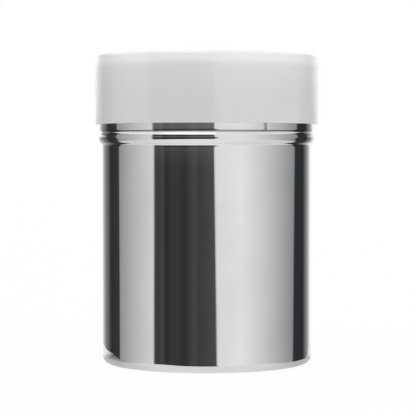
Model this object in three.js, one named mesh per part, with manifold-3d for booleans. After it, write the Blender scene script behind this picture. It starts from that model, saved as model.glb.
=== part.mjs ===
// A spice shaker for a restaurant kitchen: a deep-drawn steel can, a slip-on lid with a
// punched sieve, and a push-on plastic cap that keeps the sieve clean and dry.
// Millimetres, +Z up. The origin is the centre of the foot ring that the can stands on,
// and the front of the shaker faces -Y.
import * as THREE from "three";
import { mergeVertices } from "three/addons/utils/BufferGeometryUtils.js";
import Module from "manifold-3d";

// The can, drawn from one sheet
const canRadius = 35; // outside of the wall
const canGauge = 0.5;
const baseCornerRadius = 2.5;
const footWidth = 2.6; // flat ring that touches the table
const baseRecess = 1; // the base panel stands this far off the table
const baseStepRun = 1.6; // radial run of the step up to that panel
const beadHeight = 75.2; // table to the widest line of the bead that stops the lid
const beadRadius = 3;
const beadProud = 1.25;
const beadRootRadius = 1.1; // concave sweep from the wall out into the bead
const curlRadius = 0.9; // inward curl of the rim, outside of the sheet
const curlDegrees = 250; // how far round the curl is rolled

// The lid collar, a strip rolled into a ring and joined at one seam
const collarClearance = 0.35; // radial, over the neck of the can
const collarGauge = 0.55;
const collarHeight = 20.45;
const collarSeatGap = 0.1; // between the collar's edge and the bead
const collarCornerRadius = 1.4;
const flangeWidth = 4.4; // turned in over the rim of the sieve
const seamWidth = 0.5;
const seamDepth = 0.3;
const seamDegrees = 31.3; // from the front towards +X

// The sieve, a punched disc with a raised panel
const sieveGauge = 0.5;
const sieveEdgeClearance = 0.1; // radial, between the sieve's edge and the bend of the shoulder
const panelRise = 1.2;
const panelStepRun = 1;
const panelFlangeGap = 0.3; // radial, between the panel's step and the flange
const panelMargin = 3.8; // plain band outside the last ring of holes
const holeRadius = 1.2;

// The clamp ring that holds the sieve up against the flange
const clampGauge = 0.5;
const clampWidth = 3.4;
const clampDepth = 2.2;
const clampClearance = 0.1; // radial, inside the collar
const stackGap = 0.05; // between flange, sieve and clamp ring
const rimClearance = 0.3; // between the clamp ring and the rim of the can

// The cap, moulded in one piece
const capWall = 1;
const capTopThickness = 1.8;
const capClearance = 0.45; // radial, round the collar
const capEdgeRadius = 1.4;
const capEdgeLift = 2.25; // the cap's open edge stands this far above the collar's edge
const capHeadroom = 2.35; // over the sieve's panel
const capLeadIn = 0.4; // chamfer inside the open edge
const sealRidgeWidth = 1.1;
const sealGap = 0.3; // between the seal ridge and the flange
const gateRadius = 1.6; // moulding gate, inside the top
const gateHeight = 0.3;
const ribWidth = 0.9;
const ribLength = 11;
const ribClearance = 0.1; // radial, between a grip rib and the collar
const ribLeadIn = 1.2;
const ribRoot = 0.5; // how deep a rib is set in the wall

const cutOverrun = 1; // every cutter reaches this far past what it cuts
const weldDistance = 0.001; // vertices closer than this are one vertex

// Counts of facets and of repeated features
const turnSteps = 48;
const cornerSteps = 5;
const rootSteps = 3;
const beadSteps = 7;
const curlSteps = 8;
const shoulderSteps = 4;
const holeSides = 8;
const ribCount = 12;
const holeRings = 6; // round the middle hole
const holesInFirstRing = 6;

// Radii that follow from the sizes above
const beadCentreRadius = canRadius + beadProud - beadRadius;
const collarInnerRadius = canRadius + collarClearance;
const collarRadius = collarInnerRadius + collarGauge;
const flangeInnerRadius = collarRadius - flangeWidth;
const sieveRadius = collarRadius - collarCornerRadius - sieveEdgeClearance;
const panelFootRadius = flangeInnerRadius - panelFlangeGap;
const panelRadius = panelFootRadius - panelStepRun;
const holePitch = (panelRadius - panelMargin - holeRadius) / holeRings;
const clampRadius = collarInnerRadius - clampClearance;
const capInnerRadius = collarRadius + capClearance;
const capRadius = capInnerRadius + capWall;

// Heights that follow from the sizes above
const beadReach = collarInnerRadius - beadCentreRadius;
const seatHeight = beadHeight + Math.sqrt(beadRadius ** 2 - beadReach ** 2);
const collarFoot = seatHeight + collarSeatGap;
const flangeTop = collarFoot + collarHeight;
const sieveRimTop = flangeTop - collarGauge - stackGap;
const sieveRimUnder = sieveRimTop - sieveGauge;
const panelUnder = sieveRimUnder + panelRise;
const panelTop = panelUnder + sieveGauge;
const clampTop = sieveRimUnder - stackGap;
const clampFoot = clampTop - clampDepth;
const canTop = clampFoot - rimClearance;
const capUnder = panelTop + capHeadroom;
const capTop = capUnder + capTopThickness;
const capFoot = collarFoot + capEdgeLift;

const wasm = await Module();
wasm.setup();

const steel = new THREE.MeshStandardMaterial({ color: 0xc8cacc, roughness: 0.1, metalness: 1 });
const whitePlastic = new THREE.MeshStandardMaterial({ color: 0xf1f2f3, roughness: 0.42, metalness: 0 });

function point(radius, height) {
  return new THREE.Vector2(radius, height);
}

// Points along an arc in the section plane, both ends included, with angles in degrees.
function arc(centreRadius, centreHeight, radius, from, to, steps) {
  return Array.from({ length: steps + 1 }, (_, i) => {
    const angle = THREE.MathUtils.degToRad(from + ((to - from) * i) / steps);
    return point(centreRadius + radius * Math.cos(angle), centreHeight + radius * Math.sin(angle));
  });
}

// The side of a line of sheet metal that lies one gauge to the left of its drawn side.
function offsetLeft(line, gauge) {
  const normals = line.slice(1).map((end, i) => {
    const along = end.clone().sub(line[i]).normalize();
    return point(-along.y, along.x);
  });
  return line.map((at, i) => {
    const before = normals[Math.max(i - 1, 0)];
    const after = normals[Math.min(i, normals.length - 1)];
    const mitre = gauge / (1 + before.dot(after));
    return at.clone().addScaledVector(before, mitre).addScaledVector(after, mitre);
  });
}

// A pressed sheet's outline. A line that starts on the axis leaves the outline open there.
function sheet(line, gauge) {
  const outline = [...line, ...offsetLeft(line, gauge).reverse()];
  return line[0].x === 0 ? outline : [...outline, line[0].clone()];
}

// Turns an outline in the section plane round +Z. Its first column of points faces the front.
function turned(outline) {
  return new THREE.LatheGeometry(outline, turnSteps).rotateX(Math.PI / 2);
}

function solidOf(geometry) {
  const bare = geometry.clone();
  bare.deleteAttribute("normal");
  bare.deleteAttribute("uv");
  const welded = mergeVertices(bare, weldDistance);
  return new wasm.Manifold(
    new wasm.Mesh({
      numProp: 3,
      vertProperties: welded.attributes.position.array,
      triVerts: welded.index.array,
    }),
  );
}

function geometryOf(solid) {
  const { vertProperties, triVerts } = solid.getMesh();
  const geometry = new THREE.BufferGeometry();
  geometry.setAttribute("position", new THREE.BufferAttribute(vertProperties, 3));
  geometry.setIndex(new THREE.BufferAttribute(triVerts, 1));
  geometry.computeVertexNormals();
  return geometry;
}

// The can: recessed base, rounded corner, wall, rolled bead, plain neck and curled rim.
function canGeometry() {
  const footOuter = canRadius - baseCornerRadius;
  const footInner = footOuter - footWidth;
  const centresApart = beadRadius + beadRootRadius;
  const rootDrop = Math.sqrt(centresApart ** 2 - (centresApart - beadProud) ** 2);
  const rootTurn = THREE.MathUtils.radToDeg(Math.asin(rootDrop / centresApart));
  const neckTurn = THREE.MathUtils.radToDeg(Math.acos((beadRadius - beadProud) / beadRadius));
  const line = [
    point(0, baseRecess),
    point(footInner - baseStepRun, baseRecess),
    point(footInner, 0),
    ...arc(footOuter, baseCornerRadius, baseCornerRadius, -90, 0, cornerSteps),
    ...arc(canRadius + beadRootRadius, beadHeight - rootDrop, beadRootRadius, 180, 180 - rootTurn, rootSteps),
    ...arc(beadCentreRadius, beadHeight, beadRadius, -rootTurn, neckTurn, beadSteps).slice(1),
    ...arc(canRadius - curlRadius, canTop - curlRadius, curlRadius, 0, curlDegrees, curlSteps),
  ];
  return turned(sheet(line, canGauge));
}

// The collar: plain wall, rounded shoulder and flange, with the shallow groove of its seam.
function collarGeometry() {
  const shoulder = arc(
    collarRadius - collarCornerRadius,
    flangeTop - collarCornerRadius,
    collarCornerRadius,
    0,
    90,
    shoulderSteps,
  );
  const line = [point(collarRadius, collarFoot), ...shoulder, point(flangeInnerRadius, flangeTop)];
  const grooveBottom = collarRadius - seamDepth;
  const cutter = new THREE.BoxGeometry(seamWidth, seamDepth + cutOverrun, collarHeight + 2 * cutOverrun);
  cutter.translate(0, -grooveBottom - (seamDepth + cutOverrun) / 2, collarFoot + collarHeight / 2);
  cutter.rotateZ(THREE.MathUtils.degToRad(seamDegrees));
  return geometryOf(solidOf(turned(sheet(line, collarGauge))).subtract(solidOf(cutter)));
}

// Centres of the punched holes: one in the middle, then rings that each gain six holes.
function holeCentres() {
  const centres = [new THREE.Vector2(0, 0)];
  for (let ring = 1; ring <= holeRings; ring++) {
    const count = ring * holesInFirstRing;
    for (let i = 0; i < count; i++) {
      const angle = (2 * Math.PI * i) / count;
      centres.push(new THREE.Vector2(Math.cos(angle), Math.sin(angle)).multiplyScalar(ring * holePitch));
    }
  }
  return centres;
}

// The sieve: a flat rim, a pressed step and a raised panel with the holes punched through it.
function sieveGeometry() {
  const line = [
    point(0, panelUnder),
    point(panelRadius, panelUnder),
    point(panelFootRadius, sieveRimUnder),
    point(sieveRadius, sieveRimUnder),
  ];
  const punchLength = sieveGauge + 2 * cutOverrun;
  let disc = solidOf(turned(sheet(line, sieveGauge)));
  for (const centre of holeCentres()) {
    const punch = new THREE.CylinderGeometry(holeRadius, holeRadius, punchLength, holeSides);
    punch.rotateX(Math.PI / 2).translate(centre.x, centre.y, panelUnder + sieveGauge / 2);
    disc = disc.subtract(solidOf(punch));
  }
  return geometryOf(disc);
}

// The clamp ring: a flat lip under the sieve's rim and a short skirt inside the collar.
function clampGeometry() {
  const line = [
    point(clampRadius, clampFoot),
    point(clampRadius, clampTop),
    point(clampRadius - clampWidth, clampTop),
  ];
  return turned(sheet(line, clampGauge));
}

// One grip rib inside the cap's skirt, ramped at its foot so that the collar slides in.
function gripRib(turn) {
  const foot = capFoot + ribLeadIn;
  const face = collarRadius + ribClearance;
  const profile = new THREE.Shape([
    point(capInnerRadius + ribRoot, foot),
    point(capInnerRadius + ribRoot, foot + ribLength),
    point(face, foot + ribLength),
    point(face, foot + ribLeadIn),
    point(capInnerRadius, foot),
  ]);
  const rib = new THREE.ExtrudeGeometry(profile, { depth: ribWidth, bevelEnabled: false });
  return rib.translate(0, 0, -ribWidth / 2).rotateX(Math.PI / 2).rotateZ(turn);
}

// The cap: plain skirt and flat top, with a seal ridge, a gate mark and grip ribs inside.
function capGeometry() {
  const ridgeMiddle = (flangeInnerRadius + collarRadius - collarCornerRadius) / 2;
  const ridgeFoot = flangeTop + sealGap;
  const outline = [
    point(0, capUnder - gateHeight),
    point(gateRadius, capUnder - gateHeight),
    point(gateRadius, capUnder),
    point(ridgeMiddle - sealRidgeWidth, capUnder),
    point(ridgeMiddle - sealRidgeWidth / 2, ridgeFoot),
    point(ridgeMiddle + sealRidgeWidth / 2, ridgeFoot),
    point(ridgeMiddle + sealRidgeWidth, capUnder),
    point(capInnerRadius, capUnder),
    point(capInnerRadius, capFoot + capLeadIn),
    point(capInnerRadius + capLeadIn, capFoot),
    point(capRadius, capFoot),
    ...arc(capRadius - capEdgeRadius, capTop - capEdgeRadius, capEdgeRadius, 0, 90, shoulderSteps),
    point(0, capTop),
  ];
  let cap = solidOf(turned(outline));
  for (let i = 0; i < ribCount; i++) {
    cap = cap.add(solidOf(gripRib((2 * Math.PI * i) / ribCount)));
  }
  return geometryOf(cap);
}

function piece(name, geometry, material) {
  const mesh = new THREE.Mesh(geometry, material);
  mesh.name = name;
  return mesh;
}

const can = new THREE.Group().add(piece("can_body", canGeometry(), steel));

const sieveLid = new THREE.Group().add(
  piece("lid_collar", collarGeometry(), steel),
  piece("sieve_plate", sieveGeometry(), steel),
  piece("clamp_ring", clampGeometry(), steel),
);

const cap = new THREE.Group().add(piece("dust_cap", capGeometry(), whitePlastic));

export default new THREE.Group().add(can, sieveLid, cap);
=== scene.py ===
# A steel spice shaker with a white cap, dressed round its CAD frame and set in a photo studio.
import math

import bmesh
import bpy
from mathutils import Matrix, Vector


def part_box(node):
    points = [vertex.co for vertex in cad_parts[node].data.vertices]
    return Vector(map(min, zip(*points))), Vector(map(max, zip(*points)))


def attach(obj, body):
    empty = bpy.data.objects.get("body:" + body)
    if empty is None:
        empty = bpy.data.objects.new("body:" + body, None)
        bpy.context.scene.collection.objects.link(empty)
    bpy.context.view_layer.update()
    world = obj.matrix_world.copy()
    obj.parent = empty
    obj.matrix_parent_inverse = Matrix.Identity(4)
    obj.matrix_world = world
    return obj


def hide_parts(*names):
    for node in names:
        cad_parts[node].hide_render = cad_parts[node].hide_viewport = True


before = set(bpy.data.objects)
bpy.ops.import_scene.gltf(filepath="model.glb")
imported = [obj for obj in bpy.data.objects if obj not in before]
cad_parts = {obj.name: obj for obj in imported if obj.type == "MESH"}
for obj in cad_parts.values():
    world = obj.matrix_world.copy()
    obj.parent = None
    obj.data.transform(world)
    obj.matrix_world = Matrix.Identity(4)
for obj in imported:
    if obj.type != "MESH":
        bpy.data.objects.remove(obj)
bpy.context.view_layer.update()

# The can
# One disc of stainless sheet, drawn in steps into a tall can and trimmed. The bead that stops
# the lid and the curled rim are rolled in afterwards, and the outside is buffed to a mirror.
mm = 0.001
round_points = 240
can_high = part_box("can_body")[1]
wall_radius = 35 * mm
can_gauge = 0.5 * mm
base_corner_radius = 2.5 * mm
base_corner_steps = 14
foot_width = 2.6 * mm
base_recess = 1.0 * mm
base_step_run = 1.6 * mm
bead_height = 75.2 * mm
bead_radius = 3 * mm
bead_steps = 20
bead_proud = can_high.x - wall_radius
bead_root_radius = 1.1 * mm
bead_root_steps = 6
neck_root_radius = 0.35 * mm
neck_root_steps = 5
curl_radius = 0.9 * mm
curl_turn = math.radians(250)
curl_steps = 18
can_edge_ease = 0.08 * mm
ease_segments = 2
sharp_turn = math.radians(40)
support_gap = 0.3 * mm
same_ring_gap = 0.03 * mm
merge_gap = 0.001 * mm
wall_ring_gap = 6 * mm
centre_shares = (0.8, 0.6, 0.4, 0.2, 0.05)


def arc(centre_radius, centre_height, radius, start, end, steps):
    """Points of the section along an arc, its first point left out, as (radius, height)."""
    angles = [start + (end - start) * (i + 1) / steps for i in range(steps)]
    return [
        (centre_radius + radius * math.cos(a), centre_height + radius * math.sin(a))
        for a in angles
    ]


def straight(start, end):
    """Points along a straight stretch, with a close pair at each end so that it shades flat."""
    length = math.dist(start, end)
    inner = length - 2 * support_gap
    count = max(1, round(inner / wall_ring_gap))
    steps = [(support_gap + inner * i / count) / length for i in range(count + 1)] + [1]
    return [(start[0] + (end[0] - start[0]) * s, start[1] + (end[1] - start[1]) * s) for s in steps]


def start_ring(name, radius, height):
    """A bare ring of edges round +Z, left selected in edit mode."""
    bpy.ops.object.select_all(action="DESELECT")
    bpy.ops.mesh.primitive_circle_add(vertices=round_points, radius=radius, location=(0, 0, height))
    piece = bpy.context.object
    piece.name = name
    bpy.ops.object.transform_apply(location=True, rotation=True, scale=True)
    bpy.ops.object.mode_set(mode="EDIT")
    bpy.ops.mesh.select_all(action="SELECT")
    return piece


def draw_out(piece, section):
    """Pulls the selected ring out band by band through the section's points."""
    for radius, height in section:
        bpy.ops.mesh.extrude_region()
        ring = [v.co for v in bmesh.from_edit_mesh(piece.data).verts if v.select]
        growth = radius / math.hypot(ring[0].x, ring[0].y)
        bpy.ops.transform.resize(value=(growth, growth, 1), center_override=(0, 0, 0))
        bpy.ops.transform.translate(value=(0, 0, height - ring[0].z))


def pick_ring(piece, radius, height):
    """Selects the ring of edges that lies at this radius and height."""
    bpy.ops.mesh.select_all(action="DESELECT")
    mesh = bmesh.from_edit_mesh(piece.data)
    for vertex in mesh.verts:
        off = math.dist((vertex.co.xy.length, vertex.co.z), (radius, height))
        vertex.select = off < same_ring_gap
    mesh.select_flush(True)


def close_centre(piece, radius, height):
    """Fills the selected ring with bands that shrink to a fan of faces on the axis."""
    draw_out(piece, [(radius * share, height) for share in centre_shares])
    bpy.ops.mesh.extrude_region()
    bpy.ops.mesh.merge(type="CENTER")


def face_outwards(piece):
    """Turns every face to the same side, outwards, and leaves edit mode."""
    bpy.ops.mesh.select_all(action="SELECT")
    bpy.ops.mesh.remove_doubles(threshold=merge_gap)
    bpy.ops.mesh.normals_make_consistent(inside=False)
    bpy.ops.object.mode_set(mode="OBJECT")


def apply_modifier(piece, modifier):
    bpy.context.view_layer.objects.active = piece
    bpy.ops.object.modifier_apply(modifier=modifier.name)


def thicken(piece, gauge):
    """Gives a skin its sheet thickness on the side away from its faces."""
    solidify = piece.modifiers.new("gauge", "SOLIDIFY")
    solidify.thickness = gauge
    solidify.offset = -1
    solidify.use_even_offset = True
    apply_modifier(piece, solidify)


def ease_edges(piece, width, sharpest):
    """Takes the sharpness off cut edges and shades the rest smooth."""
    bevel = piece.modifiers.new("eased", "BEVEL")
    bevel.width = width
    bevel.segments = ease_segments
    bevel.limit_method = "ANGLE"
    bevel.angle_limit = sharpest
    apply_modifier(piece, bevel)
    bpy.ops.object.select_all(action="DESELECT")
    piece.select_set(True)
    bpy.ops.object.shade_smooth_by_angle(angle=sharpest)


centres_apart = bead_radius + bead_root_radius
root_drop = math.sqrt(centres_apart**2 - (centres_apart - bead_proud) ** 2)
root_turn = math.asin(root_drop / centres_apart)
bead_centre = wall_radius + bead_proud - bead_radius
root_centre = wall_radius + bead_root_radius
neck_centre = wall_radius + neck_root_radius
neck_reach = bead_radius + neck_root_radius
neck_turn = math.acos((neck_centre - bead_centre) / neck_reach)
neck_foot = bead_height + neck_reach * math.sin(neck_turn)
foot_outer = wall_radius - base_corner_radius
foot_inner = foot_outer - foot_width
panel_edge = foot_inner - base_step_run
wall_top = bead_height - root_drop
curl_height = can_high.z - curl_radius

upper = arc(root_centre, wall_top, bead_root_radius, math.pi, math.pi - root_turn, bead_root_steps)
upper += arc(bead_centre, bead_height, bead_radius, -root_turn, neck_turn, bead_steps)
upper += arc(neck_centre, neck_foot, neck_root_radius, math.pi + neck_turn, math.pi, neck_root_steps)
upper += straight((wall_radius, neck_foot), (wall_radius, curl_height))
upper += arc(wall_radius - curl_radius, curl_height, curl_radius, 0, curl_turn, curl_steps)
lower = straight((wall_radius, wall_top), (wall_radius, base_corner_radius))
lower += arc(foot_outer, base_corner_radius, base_corner_radius, 0, -math.pi / 2, base_corner_steps)
lower += straight((foot_outer, 0), (foot_inner, 0))
lower += straight((foot_inner, 0), (panel_edge, base_recess))
lower += [(panel_edge - support_gap, base_recess)]

can = start_ring("steel_can", wall_radius, wall_top)
draw_out(can, upper)
pick_ring(can, wall_radius, wall_top)
draw_out(can, lower)
close_centre(can, panel_edge, base_recess)
face_outwards(can)
thicken(can, can_gauge)
ease_edges(can, can_edge_ease, sharp_turn)
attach(can, "can")
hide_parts("can_body")


def material_nodes(name):
    """A new material, with its node tree and its Principled shader."""
    material = bpy.data.materials.new(name)
    material.use_nodes = True
    tree = material.node_tree
    return material, tree, tree.nodes["Principled BSDF"]


def set_inputs(tree, node, inputs):
    """Sets a node's inputs, each to a plain value or to the socket that feeds it."""
    for socket, value in inputs.items():
        if isinstance(value, bpy.types.NodeSocket):
            tree.links.new(value, node.inputs[socket])
        else:
            node.inputs[socket].default_value = value


def add_node(tree, kind, inputs, **settings):
    node = tree.nodes.new(kind)
    for setting, value in settings.items():
        setattr(node, setting, value)
    set_inputs(tree, node, inputs)
    return node


def maths(tree, operation, *values):
    """What one step of arithmetic gives."""
    inputs = dict(enumerate(values))
    return add_node(tree, "ShaderNodeMath", inputs, operation=operation).outputs[0]


def both(tree, first, second):
    """One value scaled by the other: of two masks, where both of them cover."""
    return maths(tree, "MULTIPLY", first, second)


def between(tree, value, start, full, rise="SMOOTHSTEP"):
    """A mask that rises from 0 to 1 as a value goes from start to full."""
    reach = {"Value": value, "From Min": start, "From Max": full}
    return add_node(tree, "ShaderNodeMapRange", reach, interpolation_type=rise).outputs["Result"]


# The Mix node's sockets for low, high and result, for numbers and for colours
mix_sockets = {"FLOAT": (2, 3, 0), "RGBA": (6, 7, 2)}


def is_colour(value):
    if isinstance(value, bpy.types.NodeSocket):
        return value.type in ("RGBA", "VECTOR")
    return isinstance(value, tuple)


def mixed(tree, share, low, high):
    """A number or colour that goes from low to high with a mask."""
    kind = "RGBA" if is_colour(low) or is_colour(high) else "FLOAT"
    first, second, out = mix_sockets[kind]
    ends = {0: share, first: low, second: high}
    return add_node(tree, "ShaderNodeMix", ends, data_type=kind).outputs[out]


def bumped(tree, height):
    """The normal of a surface that this height raises, in metres."""
    return add_node(tree, "ShaderNodeBump", {"Distance": 1.0, "Height": height}).outputs[0]


def object_place(tree):
    return add_node(tree, "ShaderNodeTexCoord", {}).outputs["Object"]


def parts_of(tree, place):
    return add_node(tree, "ShaderNodeSeparateXYZ", {0: place}).outputs


def stretched(tree, place, scale):
    """The place for a pattern that is drawn out where the scale is small."""
    return add_node(tree, "ShaderNodeMapping", {"Vector": place, "Scale": scale}).outputs[0]


def off_axis(tree, place):
    """How far from the shaker's axis a place lies."""
    flat = add_node(tree, "ShaderNodeVectorMath", {0: place, 1: (1, 1, 0)}, operation="MULTIPLY")
    length = add_node(tree, "ShaderNodeVectorMath", {0: flat.outputs[0]}, operation="LENGTH")
    return length.outputs["Value"]


def noise(tree, place, scale, **settings):
    """Noise from 0 to 1, with as many patches to the metre as the scale says."""
    inputs = {"Vector": place, "Scale": scale, **settings}
    return add_node(tree, "ShaderNodeTexNoise", inputs).outputs["Fac"]


def new_group(name, inputs, outputs):
    """A shader node group with named sockets, each given as name: socket type."""
    group = bpy.data.node_groups.new(name, "ShaderNodeTree")
    for socket, kind in inputs.items():
        group.interface.new_socket(socket, in_out="INPUT", socket_type=kind)
    for socket, kind in outputs.items():
        group.interface.new_socket(socket, in_out="OUTPUT", socket_type=kind)
    given = group.nodes.new("NodeGroupInput")
    result = group.nodes.new("NodeGroupOutput")
    return group, given.outputs, result


def placed(tree, group, inputs):
    """Puts a node group in a material with the material's own values."""
    return add_node(tree, "ShaderNodeGroup", inputs, node_tree=group).outputs


vector = "NodeSocketVector"
number = "NodeSocketFloat"

# Slow waves left by drawing, rolling and moulding, seen only in what the surface reflects
waves_detail = 1.0
waves_fineness = 0.4
waves_group, given, result = new_group(
    "sheet_waves", {"Position": vector, "Wavelength": number, "Depth": number}, {"Height": number}
)
scale = maths(waves_group, "DIVIDE", 1.0, given["Wavelength"])
waves = noise(waves_group, given["Position"], scale, Detail=waves_detail, Roughness=waves_fineness)
set_inputs(waves_group, result, {"Height": both(waves_group, waves, given["Depth"])})

# Fine lines of a buffing wheel or a brush, which run where the stretched position runs
lines_detail = 3.0
lines_fineness = 0.6
lines_group, given, result = new_group(
    "finish_lines",
    {"Stretched": vector, "Spacing": number, "Depth": number},
    {"Height": number, "Tone": number},
)
scale = maths(lines_group, "DIVIDE", 1.0, given["Spacing"])
lines = noise(lines_group, given["Stretched"], scale, Detail=lines_detail, Roughness=lines_fineness)
set_inputs(lines_group, result, {"Height": both(lines_group, lines, given["Depth"]), "Tone": lines})

# Faint cloudy patches where the piece has been wiped and handled
patch_detail = 4.0
patch_swirl = 0.6
patch_start, patch_full = 0.45, 0.75
handling_group, given, result = new_group(
    "handling", {"Position": vector, "Patch Size": number}, {"Patches": number}
)
scale = maths(handling_group, "DIVIDE", 1.0, given["Patch Size"])
clouds = noise(handling_group, given["Position"], scale, Detail=patch_detail, Distortion=patch_swirl)
set_inputs(handling_group, result, {"Patches": between(handling_group, clouds, patch_start, patch_full)})

steel_bright = (0.668, 0.667, 0.67, 1)
steel_dull = (0.633, 0.632, 0.635, 1)
mirror_roughness = 0.035
smudged_roughness = 0.075
inside_roughness = 0.27
can_smudge_size = 26 * mm
sheet_wavelength = 21 * mm
sheet_wave_depth = 0.035 * mm
sheet_wave_stretch = (1, 1, 0.6)
buff_spacing = 1.1 * mm
buff_depth = 0.00035 * mm
buff_stretch = (1, 1, 0.03)
ring_line_spacing = 0.35 * mm
ring_line_depth = 0.004 * mm


def polished_steel(name):
    """Buffed outside; inside, past the middle of the sheet, the satin of the drawing die."""
    material, tree, shader = material_nodes(name)
    place = object_place(tree)
    radius = off_axis(tree, place)
    height = parts_of(tree, place)["Z"]
    waves = placed(
        tree,
        waves_group,
        {
            "Position": stretched(tree, place, sheet_wave_stretch),
            "Wavelength": sheet_wavelength,
            "Depth": sheet_wave_depth,
        },
    )
    buffing = placed(
        tree,
        lines_group,
        {"Stretched": stretched(tree, place, buff_stretch), "Spacing": buff_spacing, "Depth": buff_depth},
    )
    ring_place = add_node(tree, "ShaderNodeCombineXYZ", {"X": radius, "Z": height}).outputs[0]
    ring_lines = placed(
        tree,
        lines_group,
        {"Stretched": ring_place, "Spacing": ring_line_spacing, "Depth": ring_line_depth},
    )
    patches = placed(tree, handling_group, {"Position": place, "Patch Size": can_smudge_size})["Patches"]

    inside = maths(tree, "LESS_THAN", radius, wall_radius - can_gauge / 2)
    raised = maths(tree, "GREATER_THAN", height, base_recess + can_gauge / 2)
    drawn = both(tree, inside, raised)
    outside_height = maths(tree, "ADD", waves["Height"], buffing["Height"])
    outside_rough = mixed(tree, patches, mirror_roughness, smudged_roughness)
    set_inputs(
        tree,
        shader,
        {
            "Base Color": mixed(tree, patches, steel_bright, steel_dull),
            "Roughness": mixed(tree, drawn, outside_rough, inside_roughness),
            "Normal": bumped(tree, mixed(tree, drawn, outside_height, ring_lines["Height"])),
            "Metallic": 1.0,
        },
    )
    return material


can.data.materials.append(polished_steel("polished_can_steel"))

# The lid's collar
# A strip of sheet rolled into a ring, butt-joined at one upright seam and buffed with the can.
# Its top is turned in over a rounded shoulder to make the flange that holds the sieve down.
collar_low, collar_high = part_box("lid_collar")
collar_radius = collar_high.x
collar_gauge = 0.55 * mm
shoulder_radius = 1.4 * mm
shoulder_steps = 12
flange_width = 4.4 * mm
cut_edge_ease = 0.06 * mm
seam_turn = math.radians(31.3)
seam_cutter_points = 24
seam_cutter_radius = 0.5 * mm
seam_depth = 0.42 * mm
joint_tint = (0.5, 0.496, 0.492, 1)
joint_half_width = 0.42 * mm
joint_fade = 0.5 * mm

shoulder_foot = collar_high.z - shoulder_radius
shoulder_edge = collar_radius - shoulder_radius
flange_inner = collar_radius - flange_width
collar_section = straight((collar_radius, collar_low.z), (collar_radius, shoulder_foot))
collar_section += arc(shoulder_edge, shoulder_foot, shoulder_radius, 0, math.pi / 2, shoulder_steps)
collar_section += straight((shoulder_edge, collar_high.z), (flange_inner, collar_high.z))
collar = start_ring("lid_collar_ring", collar_radius, collar_low.z)
draw_out(collar, collar_section)
face_outwards(collar)
thicken(collar, collar_gauge)


def combine(piece, other, operation):
    """Cuts another object out of a piece, or adds it to the piece, and deletes the other."""
    boolean = piece.modifiers.new("combined", "BOOLEAN")
    boolean.object = other
    boolean.operation = operation
    boolean.solver = "EXACT"
    apply_modifier(piece, boolean)
    bpy.data.objects.remove(other)


seam_reach = collar_radius - seam_depth + seam_cutter_radius
seam_cutter_length = 3 * (collar_high.z - collar_low.z)
bpy.ops.object.select_all(action="DESELECT")
bpy.ops.mesh.primitive_cylinder_add(
    vertices=seam_cutter_points,
    radius=seam_cutter_radius,
    depth=seam_cutter_length,
    location=(seam_reach * math.sin(seam_turn), -seam_reach * math.cos(seam_turn), collar_low.z),
)
combine(collar, bpy.context.object, "DIFFERENCE")
ease_edges(collar, cut_edge_ease, sharp_turn)
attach(collar, "lid")
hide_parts("lid_collar")


def turn_of(tree, parts):
    """How far round from the front a place or direction lies, towards +X, in radians."""
    return maths(tree, "ARCTAN2", parts["X"], maths(tree, "MULTIPLY", parts["Y"], -1.0))


def joined_steel(name):
    """The can's steel, dulled along the collar's joint, where the buffing wheel can't reach."""
    material = bpy.data.materials["polished_can_steel"].copy()
    material.name = name
    tree = material.node_tree
    turn = turn_of(tree, parts_of(tree, object_place(tree)))
    aside = maths(tree, "ABSOLUTE", maths(tree, "SUBTRACT", turn, seam_turn))
    joint_edge = (joint_half_width + joint_fade) / collar_radius
    joint = between(tree, aside, joint_edge, joint_half_width / collar_radius)
    base_colour = tree.nodes["Principled BSDF"].inputs["Base Color"]
    tone = base_colour.links[0].from_socket
    tree.links.new(mixed(tree, joint, tone, joint_tint), base_colour)
    return material


collar.data.materials.append(joined_steel("polished_collar_steel"))

# The sieve
# A disc of thinner sheet, pressed up in the middle so that it stays flat, with 127 round holes
# punched through it in rings. It lies loose under the collar's flange until it is clamped.
sieve_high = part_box("sieve_plate")[1]
sieve_gauge = 0.5 * mm
panel_rise = 1.2 * mm
panel_step_run = 1.0 * mm
panel_flange_gap = 0.3 * mm
panel_margin = 3.8 * mm
hole_radius = 1.2 * mm
hole_points = 20
hole_rings = 6
holes_more_per_ring = 6
punch_length = 8 * sieve_gauge

panel_foot = flange_inner - panel_flange_gap
panel_radius = panel_foot - panel_step_run
hole_pitch = (panel_radius - panel_margin - hole_radius) / hole_rings
rim_top = sieve_high.z - panel_rise
sieve_section = straight((sieve_high.x, rim_top), (panel_foot, rim_top))
sieve_section += straight((panel_foot, rim_top), (panel_radius, sieve_high.z))
sieve_section += [(panel_radius - support_gap, sieve_high.z)]
sieve = start_ring("sieve_disc", sieve_high.x, rim_top)
draw_out(sieve, sieve_section)
close_centre(sieve, panel_radius, sieve_high.z)
face_outwards(sieve)
thicken(sieve, sieve_gauge)


def joined(pieces):
    """Makes several objects into one."""
    for piece in pieces:
        piece.select_set(True)
    bpy.ops.object.join()
    return bpy.context.object


punches = []
for ring in range(hole_rings + 1):
    holes_in_ring = max(1, holes_more_per_ring * ring)
    for step in range(holes_in_ring):
        turn = math.tau * step / holes_in_ring
        reach = ring * hole_pitch
        bpy.ops.object.select_all(action="DESELECT")
        bpy.ops.mesh.primitive_cylinder_add(
            vertices=hole_points,
            radius=hole_radius,
            depth=punch_length,
            location=(reach * math.cos(turn), reach * math.sin(turn), sieve_high.z),
        )
        punches.append(bpy.context.object)
combine(sieve, joined(punches), "DIFFERENCE")
ease_edges(sieve, cut_edge_ease, sharp_turn)
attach(sieve, "lid")
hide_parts("sieve_plate")

rolling_spacing = 0.3 * mm
rolling_depth = 0.003 * mm
rolling_stretch = (0.02, 1, 1)
sieve_smudge_size = 15 * mm
satin_roughness = 0.22
satin_smudged_roughness = 0.32


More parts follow.
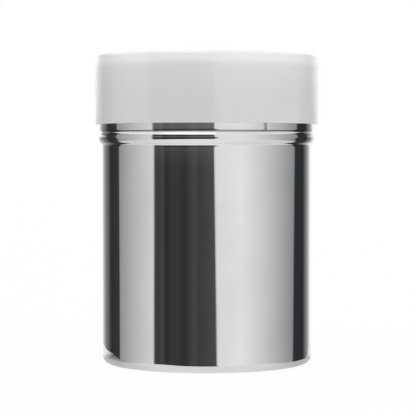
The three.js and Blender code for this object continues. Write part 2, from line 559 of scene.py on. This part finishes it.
def satin_steel(name):
    """Sheet left as it comes from the mill, with the straight fine lines of its rolling."""
    material, tree, shader = material_nodes(name)
    place = object_place(tree)
    along = stretched(tree, place, rolling_stretch)
    lines = placed(
        tree, lines_group, {"Stretched": along, "Spacing": rolling_spacing, "Depth": rolling_depth}
    )
    patches = placed(tree, handling_group, {"Position": place, "Patch Size": sieve_smudge_size})["Patches"]
    set_inputs(
        tree,
        shader,
        {
            "Base Color": mixed(tree, lines["Tone"], steel_dull, steel_bright),
            "Roughness": mixed(tree, patches, satin_roughness, satin_smudged_roughness),
            "Normal": bumped(tree, lines["Height"]),
            "Metallic": 1.0,
        },
    )
    return material


sieve.data.materials.append(satin_steel("satin_sieve_steel"))

# The clamp ring
# A strip of the sieve's sheet rolled into a ring with an angle for its section. It is pressed up
# inside the collar, where it holds the sieve against the flange.
clamp_low, clamp_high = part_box("clamp_ring")
clamp_gauge = 0.5 * mm
clamp_width = 3.4 * mm
clamp_bend_radius = 0.5 * mm
clamp_bend_steps = 6

bend_foot = clamp_high.z - clamp_bend_radius
bend_edge = clamp_high.x - clamp_bend_radius
clamp_inner = clamp_high.x - clamp_width
clamp_section = straight((clamp_high.x, clamp_low.z), (clamp_high.x, bend_foot))
clamp_section += arc(bend_edge, bend_foot, clamp_bend_radius, 0, math.pi / 2, clamp_bend_steps)
clamp_section += straight((bend_edge, clamp_high.z), (clamp_inner, clamp_high.z))
clamp = start_ring("sieve_clamp", clamp_high.x, clamp_low.z)
draw_out(clamp, clamp_section)
face_outwards(clamp)
thicken(clamp, clamp_gauge)
ease_edges(clamp, cut_edge_ease, sharp_turn)
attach(clamp, "lid")
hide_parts("clamp_ring")
clamp.data.materials.append(bpy.data.materials["satin_sieve_steel"])

# The cap
# Moulded in one shot from white polyethylene. Twelve ribs inside the skirt grip the collar, a
# ridge under the top seals on the flange, and the gate leaves a low boss at the centre inside.
cap_low, cap_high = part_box("dust_cap")
cap_radius = cap_high.x
cap_wall = 1.0 * mm
cap_top_thickness = 1.8 * mm
cap_edge_radius = 1.3 * mm
cap_edge_steps = 10
cap_ease_radius = 22 * mm
cap_ease_height = 5 * mm
cap_ease_steps = 8
cap_lead_in = 0.4 * mm
cap_inner_corner = 0.6 * mm
cap_inner_corner_steps = 6
cap_edge_ease = 0.12 * mm
cap_sharp_turn = math.radians(35)
ridge_width = 1.1 * mm
ridge_gap = 0.3 * mm
gate_radius = 1.6 * mm
gate_top_radius = 0.9 * gate_radius
gate_height = 0.3 * mm
grip_width = 0.9 * mm
grip_length = 11 * mm
grip_gap = 0.1 * mm
grip_lead_in = 1.2 * mm
grip_top_lead_in = 0.3 * mm
grip_root = 0.5 * mm
grip_count = 12

cap_inner = cap_radius - cap_wall
cap_under = cap_high.z - cap_top_thickness
ridge_middle = (flange_inner + collar_radius - shoulder_radius) / 2
ridge_inner = ridge_middle - ridge_width
ridge_foot = collar_high.z + ridge_gap
ease_foot = cap_high.z - cap_ease_height
ease_lean = math.asin((cap_ease_height - cap_edge_radius) / (cap_ease_radius - cap_edge_radius))
ease_centre = cap_radius - cap_ease_radius
top_radius = ease_centre + (cap_ease_radius - cap_edge_radius) * math.cos(ease_lean)
edge_foot = cap_high.z - cap_edge_radius
corner_foot = cap_under - cap_inner_corner
corner_edge = cap_inner - cap_inner_corner

outer_section = straight((cap_radius, cap_low.z), (cap_radius, ease_foot))
outer_section += arc(ease_centre, ease_foot, cap_ease_radius, 0, ease_lean, cap_ease_steps)
outer_section += arc(top_radius, edge_foot, cap_edge_radius, ease_lean, math.pi / 2, cap_edge_steps)
outer_section += [(top_radius - support_gap, cap_high.z)]
inner_section = [(cap_inner + cap_lead_in, cap_low.z), (cap_inner, cap_low.z + cap_lead_in)]
inner_section += straight(inner_section[-1], (cap_inner, corner_foot))
inner_section += arc(corner_edge, corner_foot, cap_inner_corner, 0, math.pi / 2, cap_inner_corner_steps)
inner_section += [
    (ridge_middle + ridge_width, cap_under),
    (ridge_middle + ridge_width / 2, ridge_foot),
    (ridge_middle - ridge_width / 2, ridge_foot),
    (ridge_inner, cap_under),
]
inner_section += straight((ridge_inner, cap_under), (gate_radius, cap_under))
inner_section += [(gate_top_radius, cap_under - gate_height)]

cap = start_ring("white_cap", cap_radius, cap_low.z)
draw_out(cap, outer_section)
close_centre(cap, top_radius, cap_high.z)
pick_ring(cap, cap_radius, cap_low.z)
draw_out(cap, inner_section)
close_centre(cap, gate_top_radius, cap_under - gate_height)
face_outwards(cap)

grip_foot = cap_low.z + grip_lead_in
grip_middle = grip_foot + grip_length / 2
grip_face = collar_radius + grip_gap
grip_back = cap_inner + grip_root
grips = []
for step in range(grip_count):
    bpy.ops.object.select_all(action="DESELECT")
    bpy.ops.mesh.primitive_cube_add(size=1)
    grip = bpy.context.object
    grip.scale = (grip_back - grip_face, grip_width, grip_length)
    grip.location = ((grip_back + grip_face) / 2, 0, grip_middle)
    bpy.ops.object.transform_apply(location=True, rotation=True, scale=True)
    for vertex in grip.data.vertices:
        if vertex.co.x < cap_inner:
            vertex.co.z += grip_lead_in if vertex.co.z < grip_middle else -grip_top_lead_in
    grip.rotation_euler.z = math.tau * step / grip_count
    bpy.ops.object.transform_apply(rotation=True)
    grips.append(grip)
combine(cap, joined(grips), "UNION")
ease_edges(cap, cap_edge_ease, cap_sharp_turn)
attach(cap, "cap")
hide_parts("dust_cap")

plastic_white = (0.785, 0.785, 0.803, 1)
plastic_worn = (0.773, 0.773, 0.79, 1)
# Painted glow: a whiter colour painted along the cap's top edge, standing in for the light from above.
painted_glow_white = (0.98, 0.98, 0.995, 1)
painted_glow_start = 5.2 * mm
painted_glow_full = 1.2 * mm
painted_glow_inner = 5 * mm
# Painted shade: the lower skirt is painted darker by this share, fading out towards the top.
painted_skirt_shade = 0.94
painted_shade_full = 14.5 * mm
moulded_roughness = 0.13
moulded_worn_roughness = 0.19
polyethylene_ior = 1.6
cap_smudge_size = 18 * mm
sink_wavelength = 12 * mm
sink_depth = 0.05 * mm
mould_grain_size = 0.25 * mm
mould_grain_detail = 2.0
mould_grain_depth = 0.0012 * mm
light_creep = 0.5 * mm


def moulded_polyethylene(name):
    """Waxy white plastic with a soft gloss, with a painted glow along the top edge and painted shade low
    on the skirt.
    """
    material, tree, shader = material_nodes(name)
    place = object_place(tree)
    patches = placed(tree, handling_group, {"Position": place, "Patch Size": cap_smudge_size})["Patches"]
    sinks = placed(
        tree, waves_group, {"Position": place, "Wavelength": sink_wavelength, "Depth": sink_depth}
    )
    grain = noise(tree, place, 1 / mould_grain_size, Detail=mould_grain_detail)
    grain_height = maths(tree, "MULTIPLY", grain, mould_grain_depth)

    height = parts_of(tree, place)["Z"]
    radius = off_axis(tree, place)
    # Painted glow mask: the band by the top corner that is painted whiter.
    near_top = between(tree, height, cap_high.z - painted_glow_start, cap_high.z - painted_glow_full)
    near_wall = between(tree, radius, cap_radius - painted_glow_inner, cap_radius - cap_edge_radius, "LINEAR")
    # Painted shade mask: the skirt is painted darker below this band.
    up_wall = between(tree, height, cap_high.z - painted_shade_full, cap_high.z - painted_glow_start, "LINEAR")
    tone = mixed(tree, patches, plastic_white, plastic_worn)
    shade = mixed(tree, up_wall, painted_skirt_shade, 1.0)
    shaded = add_node(tree, "ShaderNodeVectorMath", {0: tone, "Scale": shade}, operation="SCALE")
    painted_glow = both(tree, near_top, near_wall)
    set_inputs(
        tree,
        shader,
        {
            "Base Color": mixed(tree, painted_glow, shaded.outputs[0], painted_glow_white),
            "Roughness": mixed(tree, patches, moulded_roughness, moulded_worn_roughness),
            "Normal": bumped(tree, maths(tree, "ADD", sinks["Height"], grain_height)),
            "Subsurface Weight": 1.0,
            "Subsurface Radius": (1.0, 1.0, 1.0),
            "Subsurface Scale": light_creep,
            "IOR": polyethylene_ior,
        },
    )
    return material


cap.data.materials.append(moulded_polyethylene("white_polyethylene"))

# The studio
# The shaker stands on a white floor before a white backdrop, between two tall soft boxes. Black
# flags beside the boxes and the unlit room behind the camera draw the dark strips in the steel.
pure_white = (1, 1, 1, 1)
floor_size = 6
paper_colour = (0.9, 0.9, 0.9, 1)
paper_roughness = 0.6
floor_glow = 0.93


def white_paper(name, seen_by, glow_share, light=None):
    """Matt white paper that glows to one kind of ray, evenly or with a light of its own."""
    material, tree, shader = material_nodes(name)
    set_inputs(tree, shader, {"Base Color": paper_colour, "Roughness": paper_roughness})
    seen = add_node(tree, "ShaderNodeLightPath", {}).outputs[seen_by]
    strength = light(tree) if light else 1.0
    glow = add_node(tree, "ShaderNodeEmission", {"Color": pure_white, "Strength": strength})
    layers = {0: both(tree, seen, glow_share), 1: shader.outputs[0], 2: glow.outputs[0]}
    paper = add_node(tree, "ShaderNodeMixShader", layers)
    set_inputs(tree, tree.nodes["Material Output"], {"Surface": paper.outputs[0]})
    return material


bpy.ops.object.select_all(action="DESELECT")
bpy.ops.mesh.primitive_plane_add(size=floor_size)
floor = bpy.context.object
floor.name = "studio_floor"
floor.visible_glossy = False
floor.data.materials.append(white_paper("studio_floor_white", "Is Camera Ray", floor_glow))

# The riser is a sheet of paper on the floor that shows only in mirror images. Its front edge lies
# just before the shaker, so there only the base's corner mirrors it. Its sides lie in shade.
riser_glow = 0.8
riser_front_light = 1.09
riser_near_light, riser_far_light = 0.66, 0.03
riser_back_light = 1.15
riser_near, riser_far = 40 * mm, 61 * mm
riser_side_start, riser_side_full = -32 * mm, -18 * mm
riser_back_start, riser_back_full = 4 * mm, 20 * mm
riser_left_side = [(-64 * mm, 7 * mm), (-46 * mm, -24 * mm), (-38 * mm, -39 * mm)]
riser_front_edge = [(-28 * mm, -47 * mm), (28 * mm, -47 * mm)]
riser_right_side = [(36 * mm, -41 * mm), (41 * mm, -16 * mm), (57 * mm, 37 * mm)]
riser_back_radius = 72.5 * mm
riser_back_from, riser_back_to = math.radians(38), math.radians(142)
riser_back_steps = 16


def riser_light(tree):
    """Bright in front and behind, and darker outwards at the sides."""
    place = object_place(tree)
    back = parts_of(tree, place)["Y"]
    beside = between(tree, back, riser_side_start, riser_side_full, "LINEAR")
    behind = between(tree, back, riser_back_start, riser_back_full, "LINEAR")
    outwards = between(tree, off_axis(tree, place), riser_near, riser_far, "LINEAR")
    side_light = mixed(tree, outwards, riser_near_light, riser_far_light)
    return mixed(tree, behind, mixed(tree, beside, riser_front_light, side_light), riser_back_light)


riser_outline = riser_left_side + riser_front_edge + riser_right_side
riser_outline += arc(0, 0, riser_back_radius, riser_back_from, riser_back_to, riser_back_steps)
bpy.ops.object.select_all(action="DESELECT")
bpy.ops.mesh.primitive_circle_add(vertices=len(riser_outline), fill_type="NGON")
riser = bpy.context.object
riser.name = "studio_riser"
for vertex, (across, back) in zip(riser.data.vertices, riser_outline):
    vertex.co = (across, back, 0)
riser.visible_camera = False
riser.visible_diffuse = False
riser.visible_shadow = False
riser.data.materials.append(white_paper("studio_riser_white", "Is Glossy Ray", riser_glow, riser_light))

# What stands round the shaker: corners in degrees from the camera towards +X, and how bright each
# is. Edges spread a little away from the horizon, and below it the room's and the flags' lean.
studio_panels = {
    "left backdrop": [(-180, 1.1), (-160, 0.66), (-150, 0.32), (-131, 0.04)],
    "left flag": [(-130, 0.039), (-112.5, 0.053)],
    "left soft box": [(-111, 0.4), (-86, 0.69), (-59.6, 0.94)],
    "room left of the camera": [(-58.8, 0.07), (-54, 0.062), (-49, 0.084), (-45.5, 0.04), (-43, 0.038)],
    "room behind the camera": [(-39, 0.057), (-30, 0.054), (-26, 0.044), (-23, 0.044)],
    "pale door": [(-15, 0.082), (-12, 0.085)],
    "room right of the camera": [(-8.5, 0.066), (7.6, 0.1)],
    "right soft box": [(8.6, 1.04), (38, 1.12), (110.5, 0.36)],
    "right flag": [(112, 0.041), (130, 0.037)],
    "right backdrop": [(131, 0.045), (144, 0.37), (156, 1.05), (180, 1.15)],
}
cool_tint = 0.0035
panel_lean = 0.24
room_edge_lean, left_flag_lean, right_flag_lean = 0.42, 0.25, -0.46
room_edge_from, room_edge_past = (-8, 6), (40, 18)
left_flag_from = (-60, -95)
right_flag_from, right_flag_past = (60, 95), (126, 116)
lean_lowest = -0.17
lean_gone, lean_fades = -0.4, -0.2
overhead_left = (1.18, 1.18, 1.18, 1)
overhead_right = (1.08, 1.08, 1.08, 1)
overhead_front = (1.46, 1.46, 1.46, 1)
overhead_from = (26, 29)
overhead_turns_from, overhead_turns_to = -0.8, 0.8
overhead_front_from, overhead_front_past = (-59, -42), (10, 9)
table_front = (1.1, 1.088, 1.065, 1)
table_side = (0.9, 0.895, 0.885, 1)
table_from = (-26, -28.5)
table_dims = (15, 105)
table_past = (120, 110)
high_wall_glow = 0.17
high_wall_from, high_wall_past = (-0.5, 2), (11, 5)
high_wall_left, high_wall_right = (-60, -58), (10, 9)
back_wall = (1.1, 1.1, 1.1, 1)
back_wall_from, back_wall_past = (1.0, 1.3), (10, 7)
back_wall_round = (126, 160)

world = bpy.data.worlds.new("studio")
bpy.context.scene.world = world
world.use_nodes = True
tree = world.node_tree
tree.nodes.clear()
parts = parts_of(tree, add_node(tree, "ShaderNodeTexCoord", {}).outputs["Generated"])


def above(start, full):
    """A mask between two heights over the horizon, in degrees."""
    return between(tree, parts["Z"], math.sin(math.radians(start)), math.sin(math.radians(full)))


def round_from(turn, start, full):
    """A mask between two directions round the shaker, in degrees."""
    return between(tree, turn, math.radians(start), math.radians(full))


height_squared = maths(tree, "POWER", parts["Z"], 2)
lean_share = maths(tree, "MULTIPLY_ADD", height_squared, -panel_lean, 1.0)
turn = maths(tree, "MULTIPLY", turn_of(tree, parts), lean_share)

near_room_edge = both(tree, round_from(turn, *room_edge_from), round_from(turn, *room_edge_past))
near_right_flag = both(tree, round_from(turn, *right_flag_from), round_from(turn, *right_flag_past))
lean = mixed(tree, near_room_edge, 0.0, room_edge_lean)
lean = mixed(tree, round_from(turn, *left_flag_from), lean, left_flag_lean)
lean = mixed(tree, near_right_flag, lean, right_flag_lean)
drop = maths(tree, "MINIMUM", maths(tree, "MAXIMUM", parts["Z"], lean_lowest), 0.0)
drop = both(tree, drop, between(tree, parts["Z"], lean_gone, lean_fades))
turn = maths(tree, "ADD", turn, both(tree, drop, lean))

share = between(tree, turn, -math.pi, math.pi, "LINEAR")
walls = add_node(tree, "ShaderNodeValToRGB", {0: share})
corners = [corner for panel in studio_panels.values() for corner in panel]
stops = walls.color_ramp.elements
while len(stops) < len(corners):
    stops.new(1)
for stop, (degrees, bright) in zip(stops, corners):
    stop.position = (degrees + 180) / 360
    stop.color = (bright - cool_tint, bright, bright + cool_tint, 1)

high_wall = both(tree, above(*high_wall_from), above(*high_wall_past))
high_wall = both(tree, high_wall, round_from(turn, *high_wall_left))
high_wall = both(tree, high_wall, round_from(turn, *high_wall_right))
high_wall = both(tree, high_wall, high_wall_glow)
lit = add_node(tree, "ShaderNodeVectorMath", {0: walls.outputs["Color"], 1: high_wall}, operation="ADD")

sideways = maths(tree, "ABSOLUTE", turn)
back_wall_seen = both(tree, above(*back_wall_from), above(*back_wall_past))
back_wall_seen = both(tree, back_wall_seen, round_from(sideways, *back_wall_round))
lit = mixed(tree, back_wall_seen, lit.outputs[0], back_wall)

over_camera = both(tree, round_from(turn, *overhead_front_from), round_from(turn, *overhead_front_past))
to_right = between(tree, parts["X"], overhead_turns_from, overhead_turns_to)
overhead = mixed(tree, to_right, overhead_left, overhead_right)
overhead = mixed(tree, over_camera, overhead, overhead_front)
lit = mixed(tree, above(*overhead_from), lit, overhead)

table = mixed(tree, round_from(sideways, *table_dims), table_front, table_side)
table_seen = both(tree, above(*table_from), round_from(sideways, *table_past))
lit = mixed(tree, table_seen, lit, table)

studio_light = add_node(tree, "ShaderNodeBackground", {"Color": lit, "Strength": 1.0})
backdrop = add_node(tree, "ShaderNodeBackground", {"Color": pure_white, "Strength": 1.0})
seen = add_node(tree, "ShaderNodeLightPath", {}).outputs["Is Camera Ray"]
layers = {0: seen, 1: studio_light.outputs[0], 2: backdrop.outputs[0]}
light_or_backdrop = add_node(tree, "ShaderNodeMixShader", layers)
add_node(tree, "ShaderNodeOutputWorld", {"Surface": light_or_backdrop.outputs[0]})

# The camera
# It stands in front, just below the height of the bead, and looks down a little. Its place and
# angle of view are the photograph's, fitted to the outline of the can and the cap.
photo_width = 416
focal_pixels = 1742
sensor_width = 36
camera_place = (0.36 * mm, -585 * mm, 69.4 * mm)
camera_tilt = 0.0303

camera_data = bpy.data.cameras.new("camera")
camera_data.sensor_width = sensor_width
camera_data.lens = focal_pixels / photo_width * sensor_width
camera = bpy.data.objects.new("camera", camera_data)
camera.location = camera_place
camera.rotation_euler = (math.pi / 2 - camera_tilt, 0, 0)
bpy.context.scene.collection.objects.link(camera)
bpy.context.scene.camera = camera
bpy.context.scene.view_settings.view_transform = "Standard"
